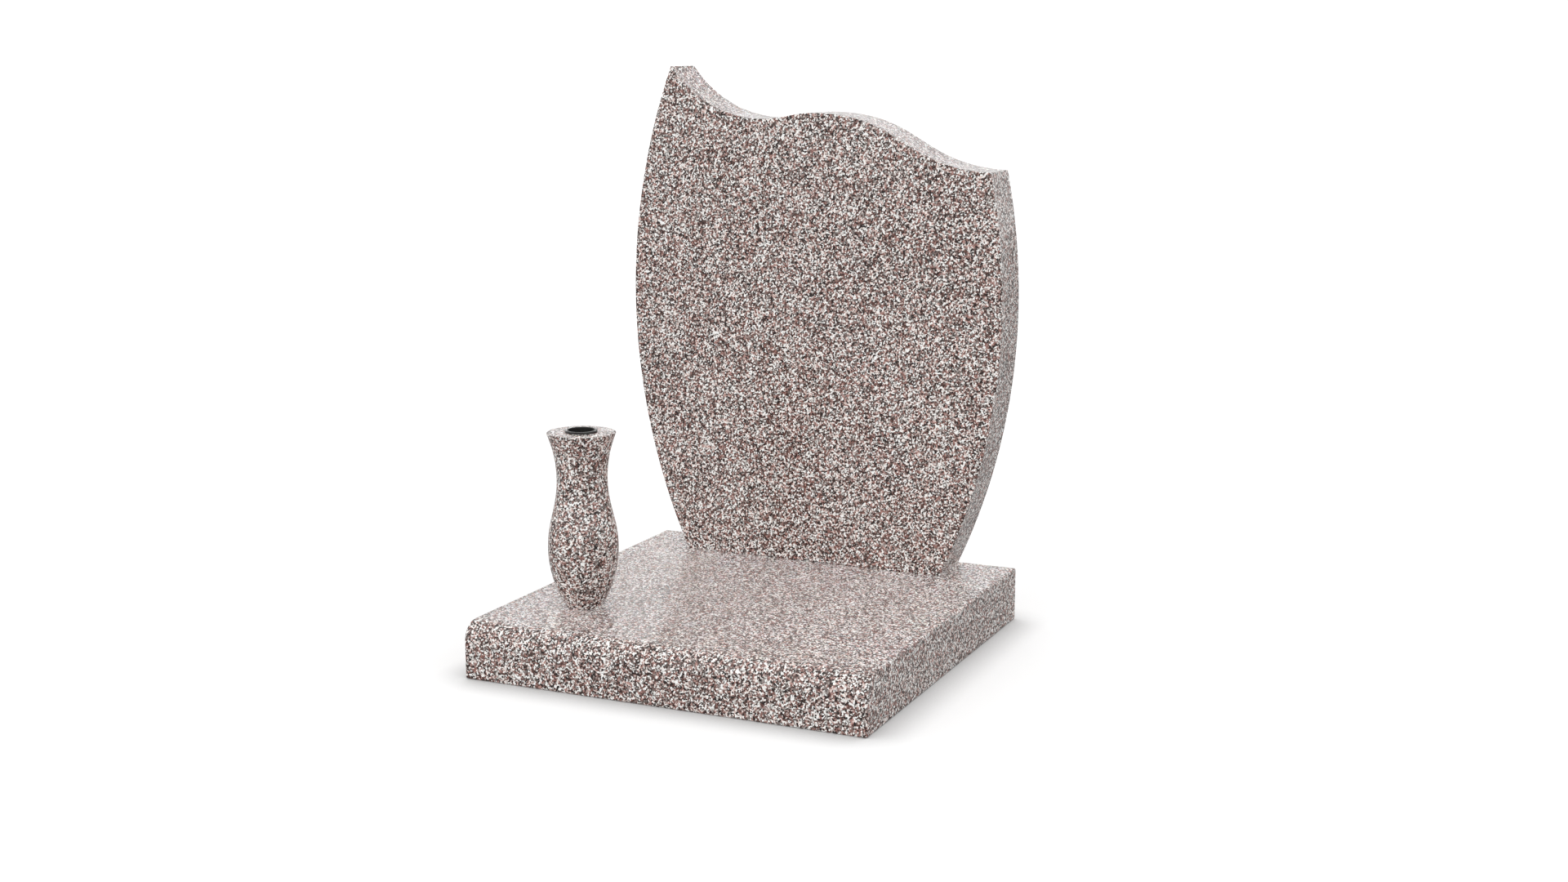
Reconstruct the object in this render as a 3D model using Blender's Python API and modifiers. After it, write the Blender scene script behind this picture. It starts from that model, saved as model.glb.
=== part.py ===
"""A polished granite grave monument, built of four separate pieces.

A square base slab carries a headstone with a wave along its top, and a turned vase that holds a loose
plastic liner. Units are metres, with +Z up, +X to the right and the front towards -Y. The origin is the
middle of the base slab's underside.
"""
import math

import bmesh
import bpy
from mathutils import Vector
from mathutils.geometry import interpolate_bezier

OBJECT_NAME = "grave_monument"

# Base slab
BASE_WIDTH = 0.600
BASE_DEPTH = 0.600
BASE_HEIGHT = 0.080
NOSE_RADIUS = 0.027  # rounding of the top front edge

# Headstone, with heights above its own foot
STONE_WIDTH = BASE_WIDTH  # the bulging sides come out flush with the slab's sides
STONE_THICKNESS = 0.080
STONE_WIDEST_HEIGHT = 0.402
STONE_SIDE_RADIUS = 0.952  # each side is one arc of a circle
STONE_BACK_MARGIN = 0.015  # the base slab shows this far behind the headstone
PEAK_HEIGHT = 0.752  # left end of the wave, before its sharp edge is chamfered
SHOULDER_HEIGHT = 0.6015  # right end of the wave

# Turning points of the wave and the reach of the curve's handles there. Across is a share of the run from
# the peak to the shoulder, and down is a share of the fall between them
PEAK_HANDLE = (0.061, 0.299)
DIP = (0.295, 0.522)
DIP_REACH = (0.128, 0.060)
CREST = (0.457, 0.456)
CREST_REACH = (0.060, 0.284)
SHOULDER_HANDLE = (0.726, 0.963)

# Vase, which stands near the left front corner
VASE_FROM_LEFT = 0.1055  # base slab's left edge to the vase's axis
VASE_FROM_FRONT = 0.149  # base slab's front edge to the vase's axis
VASE_HEIGHT = 0.250
VASE_RIM_RADIUS = 0.0486
VASE_WAIST_RADIUS = 0.0358
VASE_BELLY_RADIUS = 0.0499
VASE_FOOT_RADIUS = 0.0270

# The vase's outer curve. Heights and reaches are shares of the vase's height, and the lean is the curve's
# angle off the vertical where it meets the rim and the foot
WAIST_HEIGHT_SHARE = 0.734
BELLY_HEIGHT_SHARE = 0.340
RIM_LEAN = math.radians(21.4)
RIM_REACH = 0.091
WAIST_REACH_UP = 0.091
WAIST_REACH_DOWN = 0.166
BELLY_REACH_UP = 0.160
BELLY_REACH_DOWN = 0.119
FOOT_LEAN = math.radians(30.2)
FOOT_REACH = 0.119

# Liner, a cup that hangs in the vase's bore by its rim
LINER_MOUTH_RADIUS = 0.0190  # inside, at the top
LINER_FLOOR_RADIUS = 0.0175  # inside, at the bottom
LINER_WALL = 0.0015
LINER_DEPTH = 0.150  # below the vase's top
LINER_RIM_OVERHANG = 0.0017  # how far the rim reaches past the bore
LINER_RIM_HEIGHT = 0.003
LINER_RIM_ROUNDING = 0.0013

# Clearances and small edges
SEAT_GAP = 0.0003  # between pieces that rest on each other
BORE_CLEARANCE = 0.0006  # around the liner
BORE_END_CLEARANCE = 0.005  # below the liner
STONE_ARRIS = 0.003  # chamfer on the slab's and the headstone's edges
VASE_ARRIS = 0.0015  # chamfer on the vase's rim and foot

# Smoothness of the curved shapes
NOSE_SEGMENTS = 10
SIDE_SEGMENTS = 18
WAVE_SEGMENTS = 14
VASE_CURVE_SEGMENTS = 9
VASE_SIDES = 48
LINER_SIDES = 40
ROUNDING_SEGMENTS = 3
SHARP_ANGLE = math.radians(30)
FLAT_ANGLE = math.radians(0.1)  # faces closer to one plane than this are made one face
MERGE_DISTANCE = 0.00001

GRANITE_COLOUR = (0.37, 0.325, 0.305)
GRANITE_ROUGHNESS = 0.12
LINER_COLOUR = (0.012, 0.012, 0.013)
LINER_ROUGHNESS = 0.35


def clear_scene():
    for obj in list(bpy.data.objects):
        bpy.data.objects.remove(obj, do_unlink=True)


def make_collection(name):
    collection = bpy.data.collections.new(name)
    bpy.context.scene.collection.children.link(collection)
    return collection


def make_material(name, colour, roughness):
    material = bpy.data.materials.new(name)
    material.use_nodes = True
    shader = material.node_tree.nodes["Principled BSDF"]
    shader.inputs["Base Color"].default_value = (*colour, 1.0)
    shader.inputs["Roughness"].default_value = roughness
    shader.inputs["Metallic"].default_value = 0.0
    material.diffuse_color = (*colour, 1.0)
    return material


def add_object(name, data, collection, material):
    obj = bpy.data.objects.new(name, data)
    collection.objects.link(obj)
    data.materials.append(material)
    return obj


def evaluated_mesh(obj):
    """Return the object's shape, with its modifiers and curve settings worked out, as a new mesh."""
    depsgraph = bpy.context.evaluated_depsgraph_get()
    return bpy.data.meshes.new_from_object(obj.evaluated_get(depsgraph))


def shade_round(mesh):
    mesh.shade_smooth()
    mesh.set_sharp_from_angle(angle=SHARP_ANGLE)


def add_arris(obj, width):
    """Chamfer every sharp edge of the object."""
    bevel = obj.modifiers.new("arris", "BEVEL")
    bevel.width = width
    bevel.segments = 1
    bevel.limit_method = "ANGLE"
    bevel.angle_limit = SHARP_ANGLE


def make_base_slab(collection, material):
    """Make the square slab, with a rounded nose along its top front edge."""
    bm = bmesh.new()
    bmesh.ops.create_cube(bm, size=1.0)
    bmesh.ops.scale(bm, vec=(BASE_WIDTH, BASE_DEPTH, BASE_HEIGHT), verts=bm.verts)
    bmesh.ops.translate(bm, vec=(0.0, 0.0, BASE_HEIGHT / 2), verts=bm.verts)
    weight = bm.edges.layers.float.new("bevel_weight_edge")
    for edge in bm.edges:
        middle = (edge.verts[0].co + edge.verts[1].co) / 2
        if middle.y < -BASE_DEPTH / 4 and middle.z > BASE_HEIGHT * 3 / 4:
            edge[weight] = 1.0
    mesh = bpy.data.meshes.new("base_slab")
    bm.to_mesh(mesh)
    bm.free()

    slab = add_object("base_slab", mesh, collection, material)
    nose = slab.modifiers.new("nose", "BEVEL")
    nose.width = NOSE_RADIUS
    nose.segments = NOSE_SEGMENTS
    nose.limit_method = "WEIGHT"
    add_arris(slab, STONE_ARRIS)
    return slab


def stone_half_width(height):
    """Return half the headstone's width at a height above its foot."""
    rise = height - STONE_WIDEST_HEIGHT
    return STONE_WIDTH / 2 - STONE_SIDE_RADIUS + math.sqrt(STONE_SIDE_RADIUS**2 - rise**2)


def side_points(side, start_height, end_height):
    """Return points up or down one curved side of the headstone; side is -1 at the left, 1 at the right."""
    points = []
    for step in range(SIDE_SEGMENTS + 1):
        height = start_height + (end_height - start_height) * step / SIDE_SEGMENTS
        points.append(Vector((side * stone_half_width(height), height, 0.0)))
    return points


def wave_points():
    """Return points along the headstone's top, from the shoulder at the right to the peak at the left."""
    peak = Vector((-stone_half_width(PEAK_HEIGHT), PEAK_HEIGHT, 0.0))
    shoulder = Vector((stone_half_width(SHOULDER_HEIGHT), SHOULDER_HEIGHT, 0.0))

    def place(across, down):
        x = peak.x + (shoulder.x - peak.x) * across
        y = peak.y + (shoulder.y - peak.y) * down
        return Vector((x, y, 0.0))

    dip_before = place(DIP[0] - DIP_REACH[0], DIP[1])
    dip_after = place(DIP[0] + DIP_REACH[1], DIP[1])
    crest_before = place(CREST[0] - CREST_REACH[0], CREST[1])
    crest_after = place(CREST[0] + CREST_REACH[1], CREST[1])
    stretches = [
        (shoulder, place(*SHOULDER_HANDLE), crest_after, place(*CREST)),
        (place(*CREST), crest_before, dip_after, place(*DIP)),
        (place(*DIP), dip_before, place(*PEAK_HANDLE), peak),
    ]
    points = []
    for stretch in stretches:
        points += interpolate_bezier(*stretch, WAVE_SEGMENTS + 1)[:-1]
    return points


def make_headstone(collection, material):
    """Make the upright stone from its flat outline, standing on the slab near its back edge."""
    outline = side_points(1, 0.0, SHOULDER_HEIGHT)[:-1] + wave_points() + side_points(-1, PEAK_HEIGHT, 0.0)
    curve = bpy.data.curves.new("headstone_outline", "CURVE")
    curve.dimensions = "2D"
    curve.fill_mode = "BOTH"
    curve.extrude = STONE_THICKNESS / 2
    curve.render_resolution_u = 0
    spline = curve.splines.new("POLY")
    spline.points.add(len(outline) - 1)
    for point, corner in zip(spline.points, outline):
        point.co = (*corner, 1.0)
    spline.use_cyclic_u = True

    flat = add_object("headstone_outline", curve, collection, material)
    flat.rotation_euler = (math.pi / 2, 0.0, 0.0)
    middle_y = BASE_DEPTH / 2 - STONE_BACK_MARGIN - STONE_THICKNESS / 2
    flat.location = (0.0, middle_y, BASE_HEIGHT + SEAT_GAP)
    bpy.context.view_layer.update()

    mesh = evaluated_mesh(flat)
    bm = bmesh.new()
    bm.from_mesh(mesh)
    bmesh.ops.remove_doubles(bm, verts=bm.verts, dist=MERGE_DISTANCE)
    bmesh.ops.dissolve_limit(bm, angle_limit=FLAT_ANGLE, verts=bm.verts, edges=bm.edges)
    bm.to_mesh(mesh)
    bm.free()
    shade_round(mesh)

    stone = bpy.data.objects.new("headstone", mesh)
    collection.objects.link(stone)
    stone.matrix_world = flat.matrix_world
    bpy.data.objects.remove(flat, do_unlink=True)
    add_arris(stone, STONE_ARRIS)
    return stone


def make_turned(name, profile, sides, collection, material):
    """Turn a profile around the vertical axis; it starts and ends on the axis, outer side running down."""
    bm = bmesh.new()
    verts = [bm.verts.new((radius, 0.0, height)) for radius, height in profile]
    for first, second in zip(verts, verts[1:]):
        bm.edges.new((first, second))
    mesh = bpy.data.meshes.new(name + "_profile")
    bm.to_mesh(mesh)
    bm.free()

    turned = add_object(name, mesh, collection, material)
    screw = turned.modifiers.new("turn", "SCREW")
    screw.steps = sides
    screw.render_steps = sides
    screw.use_merge_vertices = True
    screw.merge_threshold = MERGE_DISTANCE
    turned.data = evaluated_mesh(turned)
    turned.data.name = name
    turned.modifiers.remove(screw)
    bpy.data.meshes.remove(mesh)
    shade_round(turned.data)
    return turned


def bore_radius():
    return LINER_MOUTH_RADIUS + LINER_WALL + BORE_CLEARANCE


def vase_outer_curve():
    """Return (radius, height) points down the vase's outside, from the rim to the foot."""
    rim_height = VASE_HEIGHT - VASE_ARRIS
    rim = Vector((VASE_RIM_RADIUS, rim_height))
    waist = Vector((VASE_WAIST_RADIUS, VASE_HEIGHT * WAIST_HEIGHT_SHARE))
    belly = Vector((VASE_BELLY_RADIUS, VASE_HEIGHT * BELLY_HEIGHT_SHARE))
    foot = Vector((VASE_FOOT_RADIUS, VASE_ARRIS))
    up = Vector((0.0, VASE_HEIGHT))
    rim_handle = rim - Vector((math.sin(RIM_LEAN), math.cos(RIM_LEAN))) * VASE_HEIGHT * RIM_REACH
    foot_handle = foot + Vector((math.sin(FOOT_LEAN), math.cos(FOOT_LEAN))) * VASE_HEIGHT * FOOT_REACH
    stretches = [
        (rim, rim_handle, waist + up * WAIST_REACH_UP, waist),
        (waist, waist - up * WAIST_REACH_DOWN, belly + up * BELLY_REACH_UP, belly),
        (belly, belly - up * BELLY_REACH_DOWN, foot_handle, foot),
    ]
    points = []
    for stretch in stretches:
        points += interpolate_bezier(*stretch, VASE_CURVE_SEGMENTS + 1)[:-1]
    return points + [foot]


def make_vase(collection, material):
    """Make the turned vase with the bore that takes the liner."""
    bore_floor = VASE_HEIGHT - LINER_DEPTH - BORE_END_CLEARANCE
    profile = [
        (0.0, bore_floor),
        (bore_radius(), bore_floor),
        (bore_radius(), VASE_HEIGHT),
        (VASE_RIM_RADIUS - VASE_ARRIS, VASE_HEIGHT),
    ]
    profile += [(point.x, point.y) for point in vase_outer_curve()]
    profile += [(VASE_FOOT_RADIUS - VASE_ARRIS, 0.0), (0.0, 0.0)]
    vase = make_turned("vase", profile, VASE_SIDES, collection, material)
    vase.location = (
        -BASE_WIDTH / 2 + VASE_FROM_LEFT,
        -BASE_DEPTH / 2 + VASE_FROM_FRONT,
        BASE_HEIGHT + SEAT_GAP,
    )
    return vase


def rounding(centre_radius, centre_height, start_angle, end_angle):
    """Return (radius, height) points along a small arc of the liner's rim."""
    points = []
    for step in range(ROUNDING_SEGMENTS + 1):
        angle = start_angle + (end_angle - start_angle) * step / ROUNDING_SEGMENTS
        radius = centre_radius + LINER_RIM_ROUNDING * math.cos(angle)
        height = centre_height + LINER_RIM_ROUNDING * math.sin(angle)
        points.append((radius, height))
    return points


def make_liner(vase, collection, material):
    """Make the tapered cup, with its rim resting on the vase's top around the bore."""
    floor_height = LINER_WALL - LINER_DEPTH
    rim_radius = bore_radius() + LINER_RIM_OVERHANG
    rounding_height = LINER_RIM_HEIGHT - LINER_RIM_ROUNDING
    profile = [(0.0, floor_height), (LINER_FLOOR_RADIUS, floor_height)]
    profile += rounding(LINER_MOUTH_RADIUS + LINER_RIM_ROUNDING, rounding_height, math.pi, math.pi / 2)
    profile += rounding(rim_radius - LINER_RIM_ROUNDING, rounding_height, math.pi / 2, 0.0)
    profile += [
        (rim_radius, 0.0),
        (LINER_MOUTH_RADIUS + LINER_WALL, 0.0),
        (LINER_FLOOR_RADIUS + LINER_WALL, -LINER_DEPTH),
        (0.0, -LINER_DEPTH),
    ]
    liner = make_turned("vase_liner", profile, LINER_SIDES, collection, material)
    liner.parent = vase
    liner.location = (0.0, 0.0, VASE_HEIGHT + SEAT_GAP)
    return liner


def main():
    clear_scene()
    parts = make_collection(OBJECT_NAME)
    granite = make_material("polished granite", GRANITE_COLOUR, GRANITE_ROUGHNESS)
    plastic = make_material("black plastic", LINER_COLOUR, LINER_ROUGHNESS)
    make_base_slab(parts, granite)
    make_headstone(parts, granite)
    vase = make_vase(parts, granite)
    make_liner(vase, parts, plastic)


main()
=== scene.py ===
"""The looks of a polished granite grave monument: its finished pieces, their materials and the studio."""
import math

import bmesh
import bpy
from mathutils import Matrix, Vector
from mathutils.geometry import interpolate_bezier


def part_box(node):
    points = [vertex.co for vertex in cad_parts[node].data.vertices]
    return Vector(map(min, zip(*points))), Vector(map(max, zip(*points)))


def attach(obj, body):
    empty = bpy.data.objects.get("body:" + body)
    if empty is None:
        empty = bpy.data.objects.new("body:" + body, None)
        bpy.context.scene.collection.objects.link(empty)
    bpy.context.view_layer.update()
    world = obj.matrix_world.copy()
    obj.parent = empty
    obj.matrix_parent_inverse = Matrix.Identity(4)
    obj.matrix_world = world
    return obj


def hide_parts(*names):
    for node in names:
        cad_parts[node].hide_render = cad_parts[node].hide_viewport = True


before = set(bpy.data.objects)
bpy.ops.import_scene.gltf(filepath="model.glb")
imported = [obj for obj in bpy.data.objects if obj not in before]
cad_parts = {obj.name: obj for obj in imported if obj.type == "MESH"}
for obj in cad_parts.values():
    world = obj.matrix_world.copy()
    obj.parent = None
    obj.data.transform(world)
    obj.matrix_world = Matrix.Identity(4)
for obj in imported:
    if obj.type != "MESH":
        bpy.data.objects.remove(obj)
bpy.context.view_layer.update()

MM = 0.001

# Sizes of the finished pieces that their boxes in the frame don't give, in metres
NOSE_RADIUS = 0.027
ARRIS_RADIUS = 0.003
STONE_SIDE_RADIUS = 0.952
STONE_WIDEST_HEIGHT = 0.402
PEAK_HEIGHT = 0.7503
SHOULDER_HEIGHT = 0.6015
VASE_RIM_RADIUS = 0.0486
VASE_WAIST_RADIUS = 0.0358
VASE_BELLY_RADIUS = 0.0499
VASE_FOOT_RADIUS = 0.0270
VASE_ARRIS = 0.0015
LINER_MOUTH_RADIUS = 0.0190
LINER_FLOOR_RADIUS = 0.0175
LINER_WALL = 0.0015
LINER_RIM_HEIGHT = 0.003
LINER_RIM_ROUNDING = 0.0013
BORE_CLEARANCE = 0.0006
BORE_END_CLEARANCE = 0.005

# The wave of the headstone's top. The first number is across, as a share of the run from the peak to the
# shoulder, and the second is down, as a share of the fall between them. A reach is how far across the
# level handles of a point go, to its left and to its right.
PEAK_HANDLE = (0.061, 0.299)
DIP = (0.295, 0.522)
DIP_REACH = (0.128, 0.060)
CREST = (0.457, 0.456)
CREST_REACH = (0.060, 0.284)
SHOULDER_HANDLE = (0.726, 0.963)

# The vase's outer curve: heights and reaches are shares of its height, leans are angles off the vertical
WAIST_HEIGHT_SHARE = 0.734
BELLY_HEIGHT_SHARE = 0.340
RIM_LEAN = math.radians(21.4)
RIM_REACH = 0.091
WAIST_REACH_UP = 0.091
WAIST_REACH_DOWN = 0.166
BELLY_REACH_UP = 0.160
BELLY_REACH_DOWN = 0.119
FOOT_LEAN = math.radians(30.2)
FOOT_REACH = 0.119

# Fineness of the finished meshes
NOSE_SEGMENTS = 24
ARRIS_SEGMENTS = 4
SIDE_SEGMENTS = 64
WAVE_SEGMENTS = 48
VASE_CURVE_SEGMENTS = 40
VASE_SIDES = 160
LINER_SIDES = 96
ROUNDING_SEGMENTS = 6
SHARP_ANGLE = math.radians(30)  # an edge with a turn over this is sharp
MERGE_DISTANCE = 0.00001  # points nearer than this are one
LOOKS_DOWN = -0.99  # a face looks down where the height of its normal is under this
SAWN_PLACE = 1  # the place of the sawn finish in a piece's list of materials, after the polished one


def add(tree, kind, settings=None, inputs=None):
    """Add a node with its settings; each input takes a value or a link from another node's output."""
    node = tree.nodes.new(kind)
    for name, value in (settings or {}).items():
        setattr(node, name, value)
    for name, value in (inputs or {}).items():
        if isinstance(value, bpy.types.NodeSocket):
            tree.links.new(value, node.inputs[name])
        else:
            node.inputs[name].default_value = value
    return node


def linear(hex_colour):
    """Turn an sRGB hex colour into linear red, green, blue and alpha."""
    channels = [int(hex_colour[i:i + 2], 16) / 255 for i in (1, 3, 5)]
    return [c / 12.92 if c <= 0.04045 else ((c + 0.055) / 1.055) ** 2.4 for c in channels] + [1.0]


# Materials

GRAIN_SIZE = 2.15 * MM  # across one mineral grain
GRAIN_WARP = 1.0  # how far the grains' outlines wander, as a share of the grain size
GRAIN_TURN = (0.4, 0.3, 0.7)  # turns the pattern, so that no row of its cells runs along a face
FLAKE_SIZE = 1.6 * MM  # across one flake of black mica
FLAKE_SHARE = 0.07  # the part of the stone that is mica
CLUSTER_SIZE = 16 * MM  # across a patch where one mineral gathers
CLUSTER_PULL = 0.045  # how strongly a patch favours its mineral, as a share of all grains
STAIN_SIZE = 5.5 * MM  # across a patch where iron has stained the grains pink
STAIN_STEP = 0.16  # how far the stain's noise swings from a grey patch to a pink one
SHADE_SWING = 0.12  # how far one grain of a mineral is lighter or darker than the next
POLISH_ROUGHNESS = (0.10, 0.18)  # of the grains that take the polish best and of those that take it least
BRUISE_SHARE = 0.45  # how much of the grains' colour the saw's pale bruising hides
RIB_SPACING = 4 * MM  # between two ribs that the saw leaves
RIB_HEIGHT = 0.3 * MM  # of such a rib
WAVE_RADIANS = 20  # the angle that a Wave Texture of scale 1 runs through in a metre
MOTTLE_SIZE = 4 * MM  # of the plastic's mottle: coarser than the real one, which is too fine to show
PLASTIC_ROUGHNESS = (0.22, 0.38)  # of the mottle's glossiest and dullest spots

# The grains of the stone, from the darkest to the lightest: the share of the stone where each begins, its
# colour where it is glassy grey and its colour where iron has stained it pink
MINERALS = [
    (0.00, "#1f1512", "#2d1b18"),  # hornblende
    (0.15, "#4f403a", "#60413a"),  # smoky quartz
    (0.32, "#786c68", "#8d665e"),  # mauve feldspar
    (0.50, "#9d9490", "#b28a82"),  # pink feldspar
    (0.65, "#d7d5d1", "#e1cdc6"),  # pale feldspar
    (0.79, "#fbfbf9", "#fcf6f2"),  # white quartz
]
MICA = "#1e1716"
SAWN_BRUISE = "#b7aeaa"
PLASTIC_DARK = "#141414"
PLASTIC_PALE = "#232323"

# Sockets go by number where a node has several of one name. In a Mix of colours, 0 is the factor, and
# 6 and 7 are the two colours. In a Map Range, 0 is the value, 1 and 2 are what it runs between, and
# 3 and 4 are what it turns that into.


def pick_colour(tree, chance, colours):
    """Add a colour ramp of plain steps, which gives each grain the colour of its mineral."""
    ramp = add(tree, "ShaderNodeValToRGB", inputs={0: chance})
    ramp.color_ramp.interpolation = "CONSTANT"
    while len(ramp.color_ramp.elements) < len(colours):
        ramp.color_ramp.elements.new(1.0)
    for stop, (start, colour) in zip(ramp.color_ramp.elements, colours):
        stop.position = start
        stop.color = linear(colour)
    return ramp.outputs[0]


def granite_colour(tree):
    """Add the speckle of fine-grained granite, which runs through the whole stone.

    Return its colour, and a number by chance from 0 to 1 that is the same all over one grain.
    """
    place = add(tree, "ShaderNodeTexCoord").outputs["Object"]
    turned = add(tree, "ShaderNodeMapping", inputs={"Vector": place, "Rotation": GRAIN_TURN})

    # a noise twice as coarse as the grains bends their outlines, about as far each way
    wobble = add(
        tree,
        "ShaderNodeTexNoise",
        inputs={"Vector": turned.outputs[0], "Scale": 1 / (2 * GRAIN_SIZE)},
    )
    centred = add(
        tree,
        "ShaderNodeVectorMath",
        {"operation": "SUBTRACT"},
        {0: wobble.outputs["Color"], 1: (0.5, 0.5, 0.5)},
    )
    shifted = add(
        tree,
        "ShaderNodeVectorMath",
        {"operation": "MULTIPLY_ADD"},
        {0: centred.outputs[0], 1: (GRAIN_SIZE * GRAIN_WARP,) * 3, 2: turned.outputs[0]},
    )
    grains = add(
        tree,
        "ShaderNodeTexVoronoi",
        inputs={"Vector": shifted.outputs[0], "Scale": 1 / GRAIN_SIZE},
    )
    chance = add(tree, "ShaderNodeSeparateColor", inputs={0: grains.outputs["Color"]})

    # which mineral a grain is: by chance, with a slow drift that gathers like grains in patches
    patches = add(
        tree,
        "ShaderNodeTexNoise",
        inputs={"Vector": place, "Scale": 1 / CLUSTER_SIZE, "Detail": 1.0},
    )
    drift = add(
        tree,
        "ShaderNodeMath",
        {"operation": "MULTIPLY_ADD"},
        {0: patches.outputs[0], 1: 2 * CLUSTER_PULL, 2: -CLUSTER_PULL},
    )
    pick = add(tree, "ShaderNodeMath", {"operation": "ADD"}, {0: chance.outputs[0], 1: drift.outputs[0]})
    grey = pick_colour(tree, pick.outputs[0], [(start, clean) for start, clean, stained in MINERALS])
    pink = pick_colour(tree, pick.outputs[0], [(start, stained) for start, clean, stained in MINERALS])

    # the iron's pink comes and goes over a few grains at a time
    iron = add(
        tree,
        "ShaderNodeTexNoise",
        inputs={"Vector": turned.outputs[0], "Scale": 1 / STAIN_SIZE, "Detail": 0.0},
    )
    stain = add(
        tree,
        "ShaderNodeMapRange",
        inputs={0: iron.outputs[0], 1: 0.5 - STAIN_STEP, 2: 0.5 + STAIN_STEP},
    )
    tinted = add(tree, "ShaderNodeMix", {"data_type": "RGBA"}, {0: stain.outputs[0], 6: grey, 7: pink})

    # no two grains of one mineral are quite as light
    lightness = add(
        tree,
        "ShaderNodeMapRange",
        inputs={0: chance.outputs[2], 3: 1 - SHADE_SWING, 4: 1 + SHADE_SWING},
    )
    shaded = add(
        tree,
        "ShaderNodeHueSaturation",
        inputs={"Value": lightness.outputs[0], "Color": tinted.outputs[2]},
    )

    # flakes of mica lie across the grains
    flakes = add(
        tree,
        "ShaderNodeTexVoronoi",
        inputs={"Vector": turned.outputs[0], "Scale": 1 / FLAKE_SIZE},
    )
    flake_chance = add(tree, "ShaderNodeSeparateColor", inputs={0: flakes.outputs["Color"]})
    is_flake = add(
        tree,
        "ShaderNodeMath",
        {"operation": "LESS_THAN"},
        {0: flake_chance.outputs[1], 1: FLAKE_SHARE},
    )
    speckled = add(
        tree,
        "ShaderNodeMix",
        {"data_type": "RGBA", "clamp_result": True},
        {0: is_flake.outputs[0], 6: shaded.outputs[0], 7: linear(MICA)},
    )
    return speckled.outputs[2], chance.outputs[1]


def polished_granite():
    """Granite ground and polished to a mirror: a crisp speckle under a glassy skin."""
    material = bpy.data.materials.new("polished granite")
    material.use_nodes = True
    tree = material.node_tree
    shader = tree.nodes["Principled BSDF"]
    colour, chance = granite_colour(tree)
    tree.links.new(colour, shader.inputs["Base Color"])
    best, least = POLISH_ROUGHNESS
    roughness = add(tree, "ShaderNodeMapRange", inputs={0: chance, 3: best, 4: least})
    tree.links.new(roughness.outputs[0], shader.inputs["Roughness"])
    shader.inputs["IOR"].default_value = 1.54
    shader.inputs["Specular IOR Level"].default_value = 0.6
    return material


def sawn_granite():
    """The same granite as the saw and the drill leave it, on the undersides and in the bore.

    It is pale, matt and faintly ribbed.
    """
    material = bpy.data.materials.new("sawn granite")
    material.use_nodes = True
    tree = material.node_tree
    shader = tree.nodes["Principled BSDF"]
    colour = granite_colour(tree)[0]
    bruised = add(
        tree,
        "ShaderNodeMix",
        {"data_type": "RGBA"},
        {0: BRUISE_SHARE, 6: colour, 7: linear(SAWN_BRUISE)},
    )
    tree.links.new(bruised.outputs[2], shader.inputs["Base Color"])
    place = add(tree, "ShaderNodeTexCoord").outputs["Object"]
    ribs = add(
        tree,
        "ShaderNodeTexWave",
        {"bands_direction": "Y"},
        {"Vector": place, "Scale": math.tau / (WAVE_RADIANS * RIB_SPACING), "Distortion": 1.5},
    )
    bump = add(
        tree,
        "ShaderNodeBump",
        inputs={"Strength": 0.3, "Distance": RIB_HEIGHT, "Height": ribs.outputs[1]},
    )
    tree.links.new(bump.outputs[0], shader.inputs["Normal"])
    shader.inputs["Roughness"].default_value = 0.75
    return material


def moulded_plastic():
    """Black polypropylene as it leaves a mould: dark, satin and faintly mottled."""
    material = bpy.data.materials.new("moulded polypropylene")
    material.use_nodes = True
    tree = material.node_tree
    shader = tree.nodes["Principled BSDF"]
    place = add(tree, "ShaderNodeTexCoord").outputs["Object"]
    mottle = add(
        tree,
        "ShaderNodeTexNoise",
        inputs={"Vector": place, "Scale": 1 / MOTTLE_SIZE, "Detail": 3.0},
    )
    colour = add(
        tree,
        "ShaderNodeMix",
        {"data_type": "RGBA"},
        {0: mottle.outputs[0], 6: linear(PLASTIC_DARK), 7: linear(PLASTIC_PALE)},
    )
    tree.links.new(colour.outputs[2], shader.inputs["Base Color"])
    glossiest, dullest = PLASTIC_ROUGHNESS
    roughness = add(tree, "ShaderNodeMapRange", inputs={0: mottle.outputs[0], 3: glossiest, 4: dullest})
    tree.links.new(roughness.outputs[0], shader.inputs["Roughness"])
    shader.inputs["IOR"].default_value = 1.49
    return material


# Geometry node trees

def new_tree(name, sockets):
    """Start a geometry node tree with a geometry input, the named inputs and a geometry output."""
    tree = bpy.data.node_groups.new(name, "GeometryNodeTree")
    tree.interface.new_socket(name="Outline", in_out="INPUT", socket_type="NodeSocketGeometry")
    for socket_name, socket_type in sockets:
        tree.interface.new_socket(name=socket_name, in_out="INPUT", socket_type=socket_type)
    tree.interface.new_socket(name="Piece", in_out="OUTPUT", socket_type="NodeSocketGeometry")
    return tree, add(tree, "NodeGroupInput").outputs


def end_tree(tree, geometry, finish):
    """End the tree by realising what it made and giving it its material."""
    real = add(tree, "GeometryNodeRealizeInstances", inputs={0: geometry})
    finished = add(
        tree,
        "GeometryNodeSetMaterial",
        inputs={"Geometry": real.outputs[0], "Material": finish},
    )
    add(tree, "NodeGroupOutput", inputs={0: finished.outputs[0]})


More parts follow.
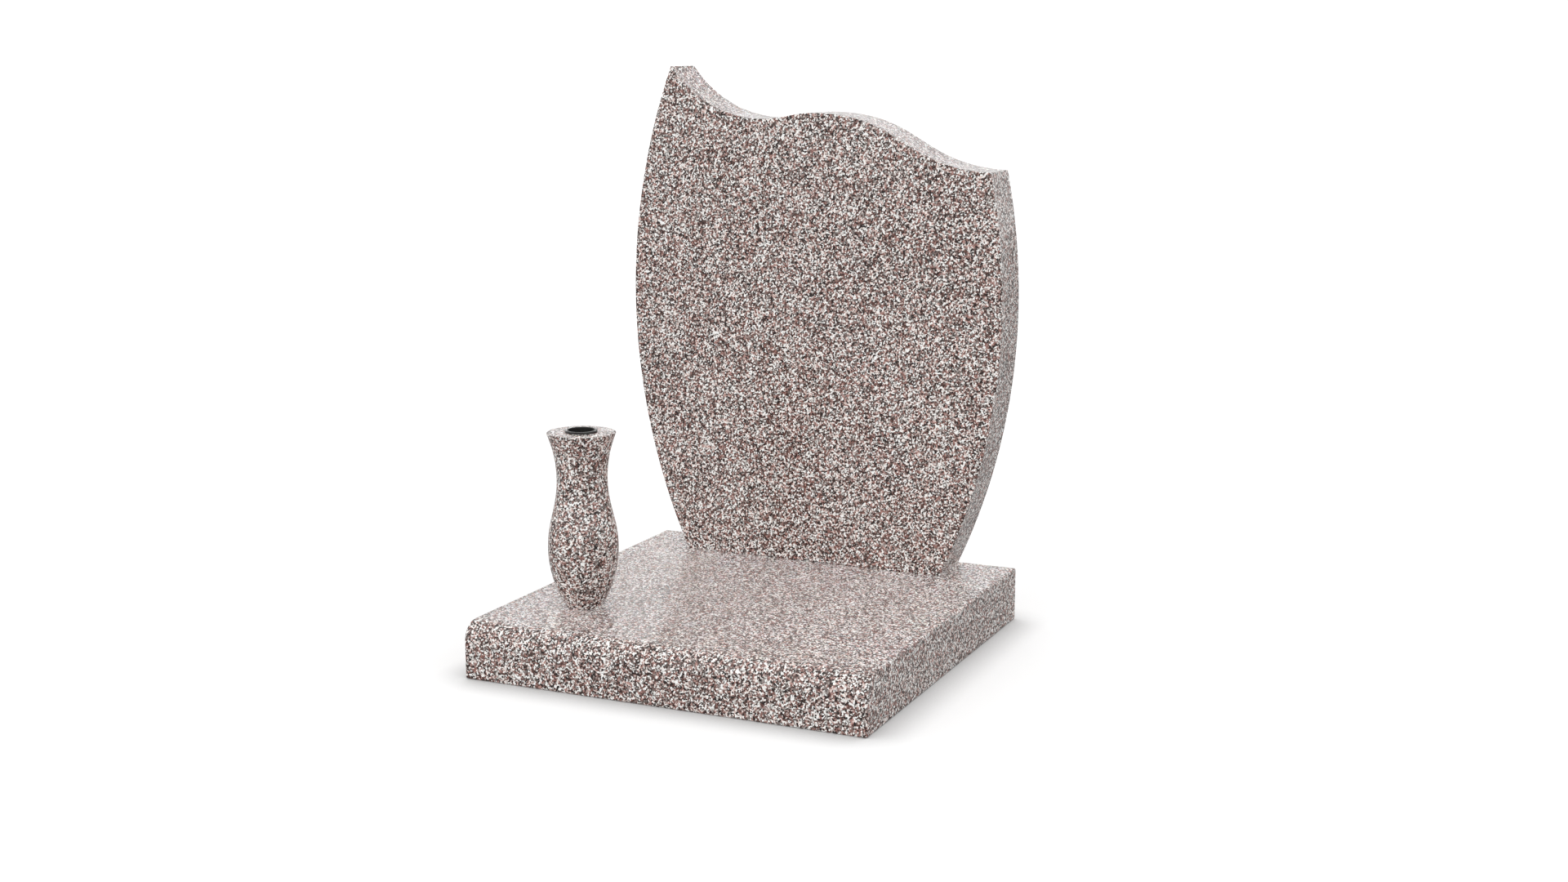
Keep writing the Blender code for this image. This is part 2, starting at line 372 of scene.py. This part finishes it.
def lathe_tree():
    """Turn an outline around the vertical axis in even steps, and close the seam and the poles."""
    tree, given = new_tree("lathe", [("Sides", "NodeSocketInt"), ("Material", "NodeSocketMaterial")])
    outline = given["Outline"]
    count = add(tree, "GeometryNodeAttributeDomainSize", inputs={0: outline}).outputs["Point Count"]
    columns = add(tree, "FunctionNodeIntegerMath", {"operation": "ADD"}, {0: given["Sides"], 1: 1})
    grid = add(
        tree,
        "GeometryNodeMeshGrid",
        inputs={"Vertices X": columns.outputs[0], "Vertices Y": count},
    )
    index = add(tree, "GeometryNodeInputIndex").outputs[0]
    column = add(tree, "FunctionNodeIntegerMath", {"operation": "DIVIDE_FLOOR"}, {0: index, 1: count})
    row = add(tree, "FunctionNodeIntegerMath", {"operation": "MODULO"}, {0: index, 1: count})
    position = add(tree, "GeometryNodeInputPosition").outputs[0]
    point = add(
        tree,
        "GeometryNodeSampleIndex",
        {"data_type": "FLOAT_VECTOR", "domain": "POINT"},
        {"Geometry": outline, "Value": position, "Index": row.outputs[0]},
    )
    step = add(tree, "ShaderNodeMath", {"operation": "DIVIDE"}, {0: math.tau, 1: given["Sides"]})
    angle = add(
        tree,
        "ShaderNodeMath",
        {"operation": "MULTIPLY"},
        {0: column.outputs[0], 1: step.outputs[0]},
    )
    turned = add(
        tree,
        "ShaderNodeVectorRotate",
        {"rotation_type": "Z_AXIS"},
        {"Vector": point.outputs[0], "Angle": angle.outputs[0]},
    )
    skin = add(
        tree,
        "GeometryNodeSetPosition",
        inputs={"Geometry": grid.outputs[0], "Position": turned.outputs[0]},
    )
    closed = add(
        tree,
        "GeometryNodeMergeByDistance",
        inputs={"Geometry": skin.outputs[0], "Distance": MERGE_DISTANCE},
    )
    end_tree(tree, closed.outputs[0], given["Material"])
    return tree


def slab_tree():
    """Cut a flat outline out of a slab, stand it upright and set it in its place."""
    sockets = [
        ("Thickness", "NodeSocketFloat"),
        ("Place", "NodeSocketVector"),
        ("Material", "NodeSocketMaterial"),
    ]
    tree, given = new_tree("slab", sockets)
    loop = add(tree, "GeometryNodeMeshToCurve", inputs={0: given["Outline"]})
    face = add(tree, "GeometryNodeFillCurve", {"mode": "NGONS"}, {"Curve": loop.outputs[0]})
    depth = add(tree, "ShaderNodeCombineXYZ", inputs={2: given["Thickness"]})
    block = add(
        tree,
        "GeometryNodeExtrudeMesh",
        {"mode": "FACES"},
        {"Mesh": face.outputs[0], "Offset": depth.outputs[0], "Individual": False},
    )
    back = add(tree, "GeometryNodeFlipFaces", inputs={0: face.outputs[0]})
    both = add(tree, "GeometryNodeJoinGeometry", inputs={0: block.outputs[0]})
    tree.links.new(back.outputs[0], both.inputs[0])
    closed = add(
        tree,
        "GeometryNodeMergeByDistance",
        inputs={"Geometry": both.outputs[0], "Distance": MERGE_DISTANCE},
    )
    upright = add(
        tree,
        "GeometryNodeTransform",
        inputs={
            "Geometry": closed.outputs[0],
            "Translation": given["Place"],
            "Rotation": (math.pi / 2, 0, 0),
        },
    )
    end_tree(tree, upright.outputs[0], given["Material"])
    return tree


def outline_mesh(name, points, closed):
    """Make a mesh of edges that joins the points in order."""
    bm = bmesh.new()
    verts = [bm.verts.new(point) for point in points]
    for first, second in zip(verts, verts[1:]):
        bm.edges.new((first, second))
    if closed:
        bm.edges.new((verts[-1], verts[0]))
    mesh = bpy.data.meshes.new(name)
    bm.to_mesh(mesh)
    bm.free()
    return mesh


def grow(name, outline, tree, values):
    """Run a geometry node tree on an outline and return the piece as an object with a plain mesh."""
    piece = bpy.data.objects.new(name, outline)
    bpy.context.scene.collection.objects.link(piece)
    modifier = piece.modifiers.new("shape", "NODES")
    modifier.node_group = tree
    for socket in tree.interface.items_tree:
        if socket.in_out == "INPUT" and socket.name in values:
            modifier[socket.identifier] = values[socket.name]
    bake(piece)
    bpy.data.meshes.remove(outline)
    return piece


def bake(piece):
    """Turn a piece's modifiers into its plain mesh, with every face turned outwards."""
    depsgraph = bpy.context.evaluated_depsgraph_get()
    mesh = bpy.data.meshes.new_from_object(piece.evaluated_get(depsgraph))
    bm = bmesh.new()
    bm.from_mesh(mesh)
    bmesh.ops.recalc_face_normals(bm, faces=bm.faces)
    bm.to_mesh(mesh)
    bm.free()
    mesh.name = piece.name
    piece.modifiers.clear()
    piece.data = mesh


def round_arris(piece):
    """Round off every sharp edge of the stone, and keep the flat faces beside it shaded flat."""
    piece.data.shade_smooth()
    bevel = piece.modifiers.new("arris", "BEVEL")
    bevel.width = ARRIS_RADIUS
    bevel.segments = ARRIS_SEGMENTS
    bevel.limit_method = "ANGLE"
    bevel.angle_limit = SHARP_ANGLE
    bevel.harden_normals = True


def leave_sawn(piece, sawn):
    """Give the faces that look down the sawn finish."""
    piece.data.materials.append(sawn)
    for face in piece.data.polygons:
        if face.normal.z < LOOKS_DOWN:
            face.material_index = SAWN_PLACE


# Pieces

def make_base_slab(granite, sawn):
    """Make the base slab, with the round nose along its top front edge."""
    low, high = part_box("base_slab")
    bm = bmesh.new()
    bmesh.ops.create_cube(bm, size=1.0)
    bmesh.ops.scale(bm, vec=high - low, verts=bm.verts)
    bmesh.ops.translate(bm, vec=(high + low) / 2, verts=bm.verts)
    weight = bm.edges.layers.float.new("bevel_weight_edge")
    for edge in bm.edges:
        ends = [vert.co for vert in edge.verts]
        in_front = all(abs(end.y - low.y) < MERGE_DISTANCE for end in ends)
        on_top = all(abs(end.z - high.z) < MERGE_DISTANCE for end in ends)
        if in_front and on_top:
            edge[weight] = 1.0
    mesh = bpy.data.meshes.new("base_slab_finished")
    bm.to_mesh(mesh)
    bm.free()
    slab = bpy.data.objects.new("base_slab_finished", mesh)
    bpy.context.scene.collection.objects.link(slab)
    mesh.materials.append(granite)
    nose = slab.modifiers.new("nose", "BEVEL")
    nose.width = NOSE_RADIUS
    nose.segments = NOSE_SEGMENTS
    nose.limit_method = "WEIGHT"
    bake(slab)
    leave_sawn(slab, sawn)
    round_arris(slab)
    return slab


def stone_half_width(height, widest):
    """Return half the headstone's width at a height, given half its width at its widest."""
    rise = height - STONE_WIDEST_HEIGHT
    return widest - STONE_SIDE_RADIUS + math.sqrt(STONE_SIDE_RADIUS**2 - rise**2)


def stone_outline(widest):
    """Return the headstone's outline, counter-clockwise from its right foot, given half its width."""

    def side(sign, start_height, end_height):
        points = []
        for step in range(SIDE_SEGMENTS + 1):
            height = start_height + (end_height - start_height) * step / SIDE_SEGMENTS
            points.append(Vector((sign * stone_half_width(height, widest), height, 0.0)))
        return points

    right = side(1, 0.0, SHOULDER_HEIGHT)
    left = side(-1, PEAK_HEIGHT, 0.0)
    peak = left[0]
    shoulder = right[-1]

    def place(across, down):
        x = peak.x + (shoulder.x - peak.x) * across
        return Vector((x, peak.y + (shoulder.y - peak.y) * down, 0.0))

    dip = place(*DIP)
    dip_left = place(DIP[0] - DIP_REACH[0], DIP[1])
    dip_right = place(DIP[0] + DIP_REACH[1], DIP[1])
    crest = place(*CREST)
    crest_left = place(CREST[0] - CREST_REACH[0], CREST[1])
    crest_right = place(CREST[0] + CREST_REACH[1], CREST[1])
    stretches = [
        (shoulder, place(*SHOULDER_HANDLE), crest_right, crest),
        (crest, crest_left, dip_right, dip),
        (dip, dip_left, place(*PEAK_HANDLE), peak),
    ]
    wave = []
    for stretch in stretches:
        wave += interpolate_bezier(*stretch, WAVE_SEGMENTS + 1)[:-1]
    return right[:-1] + wave + left


def make_headstone(granite, sawn):
    """Make the headstone, as wide at its widest as the base slab."""
    low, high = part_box("headstone")
    slab_low, slab_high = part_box("base_slab")
    points = stone_outline((slab_high.x - slab_low.x) / 2)
    values = {
        "Thickness": high.y - low.y,
        "Place": (0.0, high.y, low.z),
        "Material": granite,
    }
    outline = outline_mesh("headstone_outline", points, closed=True)
    stone = grow("headstone_finished", outline, slab_tree(), values)
    leave_sawn(stone, sawn)
    round_arris(stone)
    return stone


def arc(centre_radius, centre_height, radius, start, end):
    """Return (radius, height) points along a small arc of a turned outline."""
    points = []
    for step in range(ROUNDING_SEGMENTS + 1):
        angle = start + (end - start) * step / ROUNDING_SEGMENTS
        points.append((centre_radius + radius * math.cos(angle), centre_height + radius * math.sin(angle)))
    return points


def vase_side(height):
    """Return (radius, height) points down the vase's outside, from the rim to the foot."""
    rim = Vector((VASE_RIM_RADIUS, height - VASE_ARRIS))
    waist = Vector((VASE_WAIST_RADIUS, height * WAIST_HEIGHT_SHARE))
    belly = Vector((VASE_BELLY_RADIUS, height * BELLY_HEIGHT_SHARE))
    foot = Vector((VASE_FOOT_RADIUS, VASE_ARRIS))
    up = Vector((0.0, height))
    rim_handle = rim - Vector((math.sin(RIM_LEAN), math.cos(RIM_LEAN))) * height * RIM_REACH
    foot_handle = foot + Vector((math.sin(FOOT_LEAN), math.cos(FOOT_LEAN))) * height * FOOT_REACH
    stretches = [
        (rim, rim_handle, waist + up * WAIST_REACH_UP, waist),
        (waist, waist - up * WAIST_REACH_DOWN, belly + up * BELLY_REACH_UP, belly),
        (belly, belly - up * BELLY_REACH_DOWN, foot_handle, foot),
    ]
    points = []
    for stretch in stretches:
        points += interpolate_bezier(*stretch, VASE_CURVE_SEGMENTS + 1)[:-1]
    return [(point.x, point.y) for point in points + [foot]]


def turn(name, outline, sides, material, axis_x, axis_y, foot):
    """Turn (radius, height) points on the lathe and set the piece on its axis."""
    points = [(radius, 0.0, height) for radius, height in outline]
    mesh = outline_mesh(name + "_outline", points, closed=False)
    piece = grow(name, mesh, lathe_tree(), {"Sides": sides, "Material": material})
    for vertex in piece.data.vertices:
        vertex.co += Vector((axis_x, axis_y, foot))
    piece.data.shade_smooth()
    piece.data.set_sharp_from_angle(angle=SHARP_ANGLE)
    return piece


def make_vase(granite, sawn):
    """Make the vase, polished on its outside and rim, and as sawn and drilled below and in its bore."""
    low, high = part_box("vase")
    liner_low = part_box("vase_liner")[0]
    height = high.z - low.z
    bore = LINER_MOUTH_RADIUS + LINER_WALL + BORE_CLEARANCE
    bore_floor = liner_low.z - low.z - BORE_END_CLEARANCE
    top_centre = (VASE_RIM_RADIUS - VASE_ARRIS, height - VASE_ARRIS)
    foot_centre = (VASE_FOOT_RADIUS - VASE_ARRIS, VASE_ARRIS)
    outline = [(0.0, bore_floor), (bore, bore_floor), (bore, height)]
    outline += arc(*top_centre, VASE_ARRIS, math.pi / 2, 0.0)[:-1]
    outline += vase_side(height)
    outline += arc(*foot_centre, VASE_ARRIS, 0.0, -math.pi / 2)[1:]
    outline.append((0.0, 0.0))
    axis = (low + high) / 2
    vase = turn("vase_finished", outline, VASE_SIDES, granite, axis.x, axis.y, low.z)
    vase.data.materials.append(sawn)
    for face in vase.data.polygons:
        reach = math.hypot(face.center.x - axis.x, face.center.y - axis.y)
        in_bore = reach < bore + MERGE_DISTANCE and face.center.z < high.z - MERGE_DISTANCE
        if face.normal.z < LOOKS_DOWN or in_bore:
            face.material_index = SAWN_PLACE
    return vase


def make_liner(plastic):
    """Make the liner, an open and empty cup that hangs by its rim.

    The heights in its outline are measured from the seat, where the rim rests on the vase.
    """
    low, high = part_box("vase_liner")
    seat = high.z - LINER_RIM_HEIGHT
    rim_radius = (high.x - low.x) / 2
    depth = seat - low.z
    rounding_height = LINER_RIM_HEIGHT - LINER_RIM_ROUNDING
    inner_centre = LINER_MOUTH_RADIUS + LINER_RIM_ROUNDING
    outer_centre = rim_radius - LINER_RIM_ROUNDING
    outline = [(0.0, LINER_WALL - depth), (LINER_FLOOR_RADIUS, LINER_WALL - depth)]
    outline += arc(inner_centre, rounding_height, LINER_RIM_ROUNDING, math.pi, math.pi / 2)
    outline += arc(outer_centre, rounding_height, LINER_RIM_ROUNDING, math.pi / 2, 0.0)
    outline += [
        (rim_radius, 0.0),
        (LINER_MOUTH_RADIUS + LINER_WALL, 0.0),
        (LINER_FLOOR_RADIUS + LINER_WALL, -depth),
        (0.0, -depth),
    ]
    axis = (low + high) / 2
    return turn("vase_liner_finished", outline, LINER_SIDES, plastic, axis.x, axis.y, seat)


# Studio

CAMERA_PLACE = (1.2125, -2.5590, 0.8616)
CAMERA_TURN = (math.radians(78.90), 0.0, math.radians(24.462))
CAMERA_LENS = 46.38  # focal length in millimetres
FLOOR_HALF = 30.0  # half the floor's width, in metres
PAINTED_SHADOW_REACH = 60 * MM  # how far the painted contact shadow reaches over the floor
SKY_LIGHT = 0.94  # how strong the white sky is as it lights the stone
SKY_MIRRORED = 0.81  # as the polish mirrors it
SKY_SEEN = 1.3  # and as the camera sees it, behind the floor

# The white paper of the floor: as the camera sees it in the open, the grey painted into it as the contact
# shadow at its deepest, and as it throws light back on the stone, greyer, so that the faces near it don't
# go pale
PAPER_OPEN = "#fefefe"
PAPER_PAINTED_SHADOW = "#909090"
PAPER_BOUNCE = "#a4a4a4"

# The broad soft lights: name, strength, spread in degrees, height over the horizon, bearing off the
# monument's front towards its right, and whether the polish mirrors it
LIGHTS = [
    ("left fill light", 0.98, 80, 8, -25, False),
    ("right fill light", 0.50, 80, 8, 115, False),
    ("back light", 0.60, 80, 20, 204, True),
]


def make_camera():
    """Set the camera at the photograph's viewing angle."""
    data = bpy.data.cameras.new("camera")
    data.lens = CAMERA_LENS
    camera = bpy.data.objects.new("camera", data)
    camera.location = CAMERA_PLACE
    camera.rotation_euler = CAMERA_TURN
    bpy.context.scene.collection.objects.link(camera)
    bpy.context.scene.camera = camera


def make_floor():
    """Lay the floor, wide and white, with a contact shadow painted into it close to where the slab stands
    on it.
    """
    bm = bmesh.new()
    bmesh.ops.create_grid(bm, size=FLOOR_HALF)
    mesh = bpy.data.meshes.new("floor")
    bm.to_mesh(mesh)
    bm.free()
    floor = bpy.data.objects.new("floor", mesh)
    bpy.context.scene.collection.objects.link(floor)
    paper = bpy.data.materials.new("white studio paper")
    paper.use_nodes = True
    tree = paper.node_tree
    shader = tree.nodes["Principled BSDF"]
    is_seen = add(tree, "ShaderNodeLightPath").outputs["Is Camera Ray"]
    # painted contact shadow: the paper's colour goes grey where an ambient occlusion node finds the slab
    # close by
    contact = add(tree, "ShaderNodeAmbientOcclusion", {"samples": 4}, {"Distance": PAINTED_SHADOW_REACH})
    seen_with_painted_shadow = add(
        tree,
        "ShaderNodeMix",
        {"data_type": "RGBA"},
        {0: contact.outputs["AO"], 6: linear(PAPER_PAINTED_SHADOW), 7: linear(PAPER_OPEN)},
    )
    colour = add(
        tree,
        "ShaderNodeMix",
        {"data_type": "RGBA"},
        {0: is_seen, 6: linear(PAPER_BOUNCE), 7: seen_with_painted_shadow.outputs[2]},
    )
    tree.links.new(colour.outputs[2], shader.inputs["Base Color"])
    shader.inputs["Roughness"].default_value = 1.0
    shader.inputs["Specular IOR Level"].default_value = 0.0
    mesh.materials.append(paper)


def make_lights():
    """Light the monument with a white sky all round and an even veil of broad lights without shadows."""
    world = bpy.data.worlds.new("studio")
    world.use_nodes = True
    tree = world.node_tree
    background = tree.nodes["Background"]
    ray = add(tree, "ShaderNodeLightPath").outputs
    sky_unseen = add(
        tree,
        "ShaderNodeMapRange",
        inputs={0: ray["Is Glossy Ray"], 3: SKY_LIGHT, 4: SKY_MIRRORED},
    )
    sky = add(
        tree,
        "ShaderNodeMapRange",
        inputs={0: ray["Is Camera Ray"], 3: sky_unseen.outputs[0], 4: SKY_SEEN},
    )
    background.inputs["Color"].default_value = (1.0, 1.0, 1.0, 1.0)
    tree.links.new(sky.outputs[0], background.inputs["Strength"])
    bpy.context.scene.world = world
    for name, strength, spread, height, bearing, mirrored in LIGHTS:
        data = bpy.data.lights.new(name, "SUN")
        data.energy = strength
        data.angle = math.radians(spread)
        data.use_shadow = False
        data.cycles.use_multiple_importance_sampling = False
        lamp = bpy.data.objects.new(name, data)
        lamp.rotation_euler = (math.radians(90 - height), 0.0, math.radians(bearing))
        lamp.visible_glossy = mirrored
        bpy.context.scene.collection.objects.link(lamp)


def main():
    """Set up the studio, make the pieces, hang each on the root body and hide the part that it replaces.
    """
    bpy.context.scene.view_settings.view_transform = "Standard"
    make_camera()
    make_floor()
    make_lights()
    granite = polished_granite()
    sawn = sawn_granite()
    pieces = [
        (make_base_slab(granite, sawn), "base_slab", "granite"),
        (make_headstone(granite, sawn), "headstone", "granite"),
        (make_vase(granite, sawn), "vase", "granite"),
        (make_liner(moulded_plastic()), "vase_liner", "liner_plastic"),
    ]
    for piece, node, slot in pieces:
        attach(piece, "root")
        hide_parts(node)


main()
